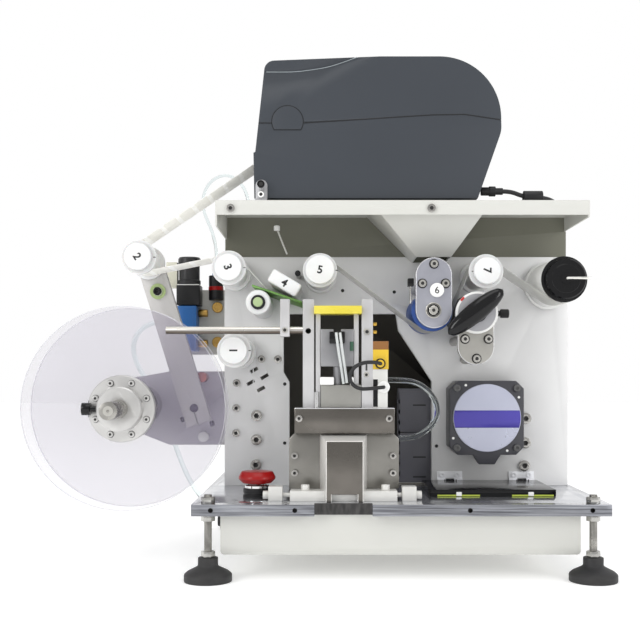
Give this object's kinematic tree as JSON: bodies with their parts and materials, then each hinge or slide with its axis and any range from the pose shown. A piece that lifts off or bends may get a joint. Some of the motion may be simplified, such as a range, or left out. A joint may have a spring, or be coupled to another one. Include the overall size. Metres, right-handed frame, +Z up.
{
  "type": "label printing and folding machine",
  "caption": "Bench label printer on a folded shelf over an aluminium panel with unwind reel, guide rollers, nip drive and folding press.",
  "frame": {"origin": "middle of the footprint, on the floor under the levelling feet", "axes": "+Z up, -Y towards the front with the rollers, +X to the take-up side"},
  "size_m": [0.6381, 0.4038, 0.565],
  "materials": {
    "plate_aluminium": "ground and anodised, glossy top",
    "panel_aluminium": "fine blasted",
    "steel": "bright, finely brushed",
    "cream_paint": "smooth satin powder coat",
    "black_paint": "satin",
    "printer_plastic": "fine moulded texture",
    "white_nylon": "turned, satin",
    "black_plastic": "smooth",
    "red_plastic": "smooth",
    "yellow_plastic": "smooth",
    "green_plastic": "smooth",
    "black_rubber": "matt",
    "blue_rubber": "matt, smooth ground",
    "clear_acrylic": "translucent, frosted",
    "clear_tube": "clear flexible tube",
    "label_paper": "smooth"
  },
  "bodies": {
    "frame": {"air_cylinder": "panel_aluminium", "air_hose": "clear_tube", "air_tube": "clear_tube", "air_valves": "black_plastic", "arm_plate": "panel_aluminium", "base_plate": "plate_aluminium", "cable_duct": "black_plastic", "drive_belt": "black_rubber", "folding_base_bar": "steel", "folding_cover": "steel", "folding_hose": "clear_tube", "folding_plates": "steel", "foot_pads": "black_rubber", "guide_block": "white_nylon", "guide_posts": "panel_aluminium", "hinge_leaves": "steel", "label_sensor": "yellow_plastic", "label_web": "label_paper", "label_web_loop": "label_paper", "levelling_studs": "steel", "lower_box": "cream_paint", "machine_screws": "steel", "main_panel": "panel_aluminium", "nip_plates": "panel_aluminium", "peel_plate": "green_plastic", "press_pad": "yellow_plastic", "printer_base": "printer_plastic", "printer_lead": "black_rubber", "printer_plug": "black_plastic", "printer_shelf": "cream_paint", "rear_cabinet": "cream_paint", "roller_axles": "steel", "sensor_cable": "black_rubber", "step_motor": "black_paint", "stop_base": "steel"},
    "printer_lid": {"printer_lid": "printer_plastic"},
    "latch": {"latch_button": "printer_plastic"},
    "label_roll": {"label_roll": "label_paper"},
    "reel": {"reel_shaft": "steel", "rear_disc": "clear_acrylic"},
    "front_flange": {"front_disc": "clear_acrylic", "front_hub": "steel"},
    "dancer": {"dancer_arm": "panel_aluminium"},
    "roller_two": {"roller_two": "white_nylon"},
    "roller_one": {"roller_one": "white_nylon"},
    "roller_three": {"roller_three": "white_nylon"},
    "roller_five": {"roller_five": "white_nylon"},
    "roller_seven": {"roller_seven": "white_nylon"},
    "guide_roller": {"guide_roller": "white_nylon"},
    "drive_roller": {"drive_roller": "blue_rubber"},
    "pinch_roller": {"pinch_roller": "black_rubber"},
    "nip_lever": {"nip_lever": "black_plastic"},
    "take_up": {"take_up_drum": "white_nylon"},
    "take_up_clip": {"take_up_clip": "steel"},
    "motor_shaft": {"motor_shaft": "steel"},
    "flap": {"cover_flap": "black_plastic"},
    "stop_button": {"stop_button": "red_plastic"},
    "press_head": {"press_head": "panel_aluminium"},
    "rod_guide": {"rod_guide": "panel_aluminium"},
    "regulator_knob": {"regulator_knob": "black_plastic"}
  },
  "joints": [
    {"name": "lid_hinge", "type": "hinge", "parent": "frame", "child": "printer_lid", "pos_m": [0.21025, -0.015, 0.4952], "axis": [0, 1, 0], "range_deg": [0, 80]},
    {"name": "latch_push", "type": "slide", "parent": "printer_lid", "child": "latch", "axis": [0, 1, 0], "range_m": [0, 0.003], "stiffness_N_per_m": 400},
    {"name": "label_roll_spin", "type": "hinge", "parent": "frame", "child": "label_roll", "pos_m": [0.08855, -0.015, 0.469], "axis": [0, -1, 0], "continuous": true},
    {"name": "reel_spin", "type": "hinge", "parent": "frame", "child": "reel", "pos_m": [-0.20645, -0.075, 0.177], "axis": [0, -1, 0], "continuous": true},
    {"name": "front_flange_slide", "type": "slide", "parent": "reel", "child": "front_flange", "axis": [0, -1, 0], "range_m": [0, 0.011]},
    {"name": "dancer_swing", "type": "hinge", "parent": "frame", "child": "dancer", "pos_m": [-0.13825, -0.035, 0.1748], "axis": [0, -1, 0], "range_deg": [-12, 10], "stiffness_Nm_per_rad": 20, "deforming": ["label_web_loop"]},
    {"name": "roller_one_spin", "type": "hinge", "parent": "frame", "child": "roller_one", "pos_m": [-0.08505, -0.065, 0.2408], "axis": [0, -1, 0], "continuous": true},
    {"name": "roller_two_spin", "type": "hinge", "parent": "dancer", "child": "roller_two", "pos_m": [-0.19029, -0.065, 0.34397], "axis": [0, -1, 0], "continuous": true},
    {"name": "roller_three_spin", "type": "hinge", "parent": "frame", "child": "roller_three", "pos_m": [-0.09095, -0.065, 0.3324], "axis": [0, -1, 0], "continuous": true},
    {"name": "roller_five_spin", "type": "hinge", "parent": "frame", "child": "roller_five", "pos_m": [0.00995, -0.065, 0.3295], "axis": [0, -1, 0], "continuous": true},
    {"name": "roller_seven_spin", "type": "hinge", "parent": "frame", "child": "roller_seven", "pos_m": [0.19355, -0.065, 0.3284], "axis": [0, -1, 0], "continuous": true},
    {"name": "guide_roller_spin", "type": "hinge", "parent": "frame", "child": "guide_roller", "pos_m": [-0.05865, -0.065, 0.2943], "axis": [0, -1, 0], "continuous": true},
    {"name": "drive_roller_spin", "type": "hinge", "parent": "frame", "child": "drive_roller", "pos_m": [0.13455, -0.065, 0.285], "axis": [0, -1, 0], "continuous": true},
    {"name": "pinch_roller_spin", "type": "hinge", "parent": "frame", "child": "pinch_roller", "pos_m": [0.18155, -0.065, 0.282], "axis": [0, -1, 0], "continuous": true},
    {"name": "motor_shaft_spin", "type": "hinge", "parent": "frame", "child": "motor_shaft", "pos_m": [0.20355, 0.005, 0.1638], "axis": [0, -1, 0], "continuous": true},
    {"name": "take_up_spin", "type": "hinge", "parent": "frame", "child": "take_up", "pos_m": [0.28105, -0.055, 0.32], "axis": [0, -1, 0], "continuous": true},
    {"name": "take_up_clip_slide", "type": "slide", "parent": "take_up", "child": "take_up_clip", "axis": [0, -1, 0], "range_m": [0, 0.06]},
    {"name": "nip_lever_turn", "type": "hinge", "parent": "frame", "child": "nip_lever", "pos_m": [0.18155, -0.125, 0.282], "axis": [0, -1, 0], "range_deg": [-90, 0]},
    {"name": "flap_hinge", "type": "hinge", "parent": "frame", "child": "flap", "pos_m": [0.20355, -0.0195, 0.0855], "axis": [-1, 0, 0], "range_deg": [0, 22]},
    {"name": "stop_press", "type": "slide", "parent": "frame", "child": "stop_button", "axis": [0, 0, -1], "range_m": [0, 0.004]},
    {"name": "press_head_slide", "type": "slide", "parent": "frame", "child": "press_head", "axis": [0, 0, 1], "range_m": [0, 0.012]},
    {"name": "rod_guide_slide", "type": "slide", "parent": "frame", "child": "rod_guide", "axis": [1, 0, 0], "range_m": [-0.11, 0.01]},
    {"name": "regulator_turn", "type": "hinge", "parent": "frame", "child": "regulator_knob", "pos_m": [-0.15395, 0.0345, 0.341], "axis": [0, 0, 1], "range_deg": [-720, 720]}
  ],
  "couplings": [
    {"joint": "motor_shaft_spin", "follows": "drive_roller_spin", "ratio": 1},
    {"joint": "pinch_roller_spin", "follows": "drive_roller_spin", "ratio": -0.98696}
  ]
}
